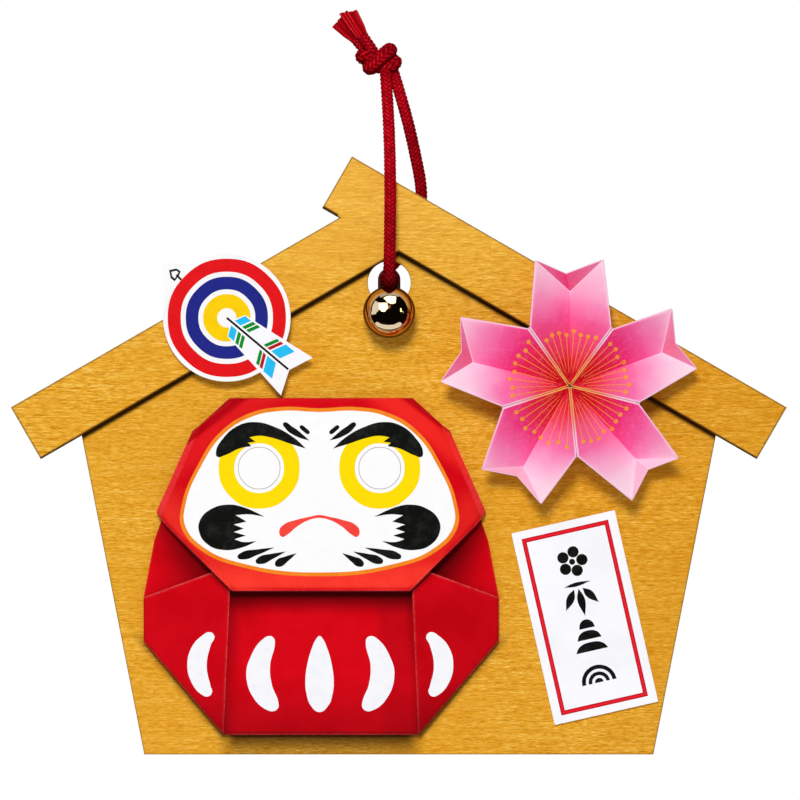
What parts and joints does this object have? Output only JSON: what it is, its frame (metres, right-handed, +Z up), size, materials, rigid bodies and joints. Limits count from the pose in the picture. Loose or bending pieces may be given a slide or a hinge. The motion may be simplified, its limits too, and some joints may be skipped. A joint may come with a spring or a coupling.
{
  "type": "ema plaque",
  "caption": "House-shaped gold votive plaque with a roof plate, hung on a braided cord with a small round bell, and dressed with a folded paper doll, flower, target card and talisman.",
  "frame": {"origin": "the place in the cord's loop, just under the knot, where a nail or hook sits, level with the board's back face", "axes": "+X to the viewer's right, +Y into the wall behind the plaque, +Z up; the front faces -Y"},
  "size_m": [0.1938, 0.0214, 0.1858],
  "materials": {
    "gold_board": "gold lacquer over fine level grain",
    "red_cord": "braided, satin",
    "bell_brass": "mirror polish",
    "pea_steel": "plain",
    "petal_paper": "printed, matte",
    "doll_paper": "printed, matte",
    "target_card": "printed, matte",
    "talisman_card": "printed, matte",
    "foam": "soft foam tape",
    "tape": "thin double-sided tape"
  },
  "bodies": {
    "hanging_cord": {"cord_loop": "red_cord", "cord_knot": "red_cord", "cord_tail_upper": "red_cord", "cord_tail_lower": "red_cord"},
    "plaque": {"board": "gold_board", "roof": "gold_board", "petal_1": "petal_paper", "petal_2": "petal_paper", "petal_3": "petal_paper", "petal_4": "petal_paper", "petal_5": "petal_paper", "flower_pad": "foam", "target_card": "target_card", "target_pad": "foam", "doll_sheet": "doll_paper", "doll_pad": "foam", "talisman_card": "talisman_card", "talisman_tape": "tape"},
    "bell": {"bell_upper_shell": "bell_brass", "bell_lower_shell": "bell_brass", "bell_eye": "bell_brass"},
    "pea": {"bell_pea": "pea_steel"}
  },
  "joints": [
    {"name": "plaque_rock", "type": "hinge", "parent": "hanging_cord", "child": "plaque", "pos_m": [-0.0024, 0, -0.03755], "axis": [0, 1, 0], "range_deg": [-20, 20]},
    {"name": "bell_swing", "type": "hinge", "parent": "hanging_cord", "child": "bell", "pos_m": [-0.0024, -0.0109, -0.0405], "axis": [0, 1, 0], "range_deg": [-35, 35]},
    {"name": "pea_roll", "type": "hinge", "parent": "bell", "child": "pea", "pos_m": [-0.0024, -0.0109, -0.0486], "axis": [0, 1, 0], "range_deg": [-50, 50]}
  ]
}
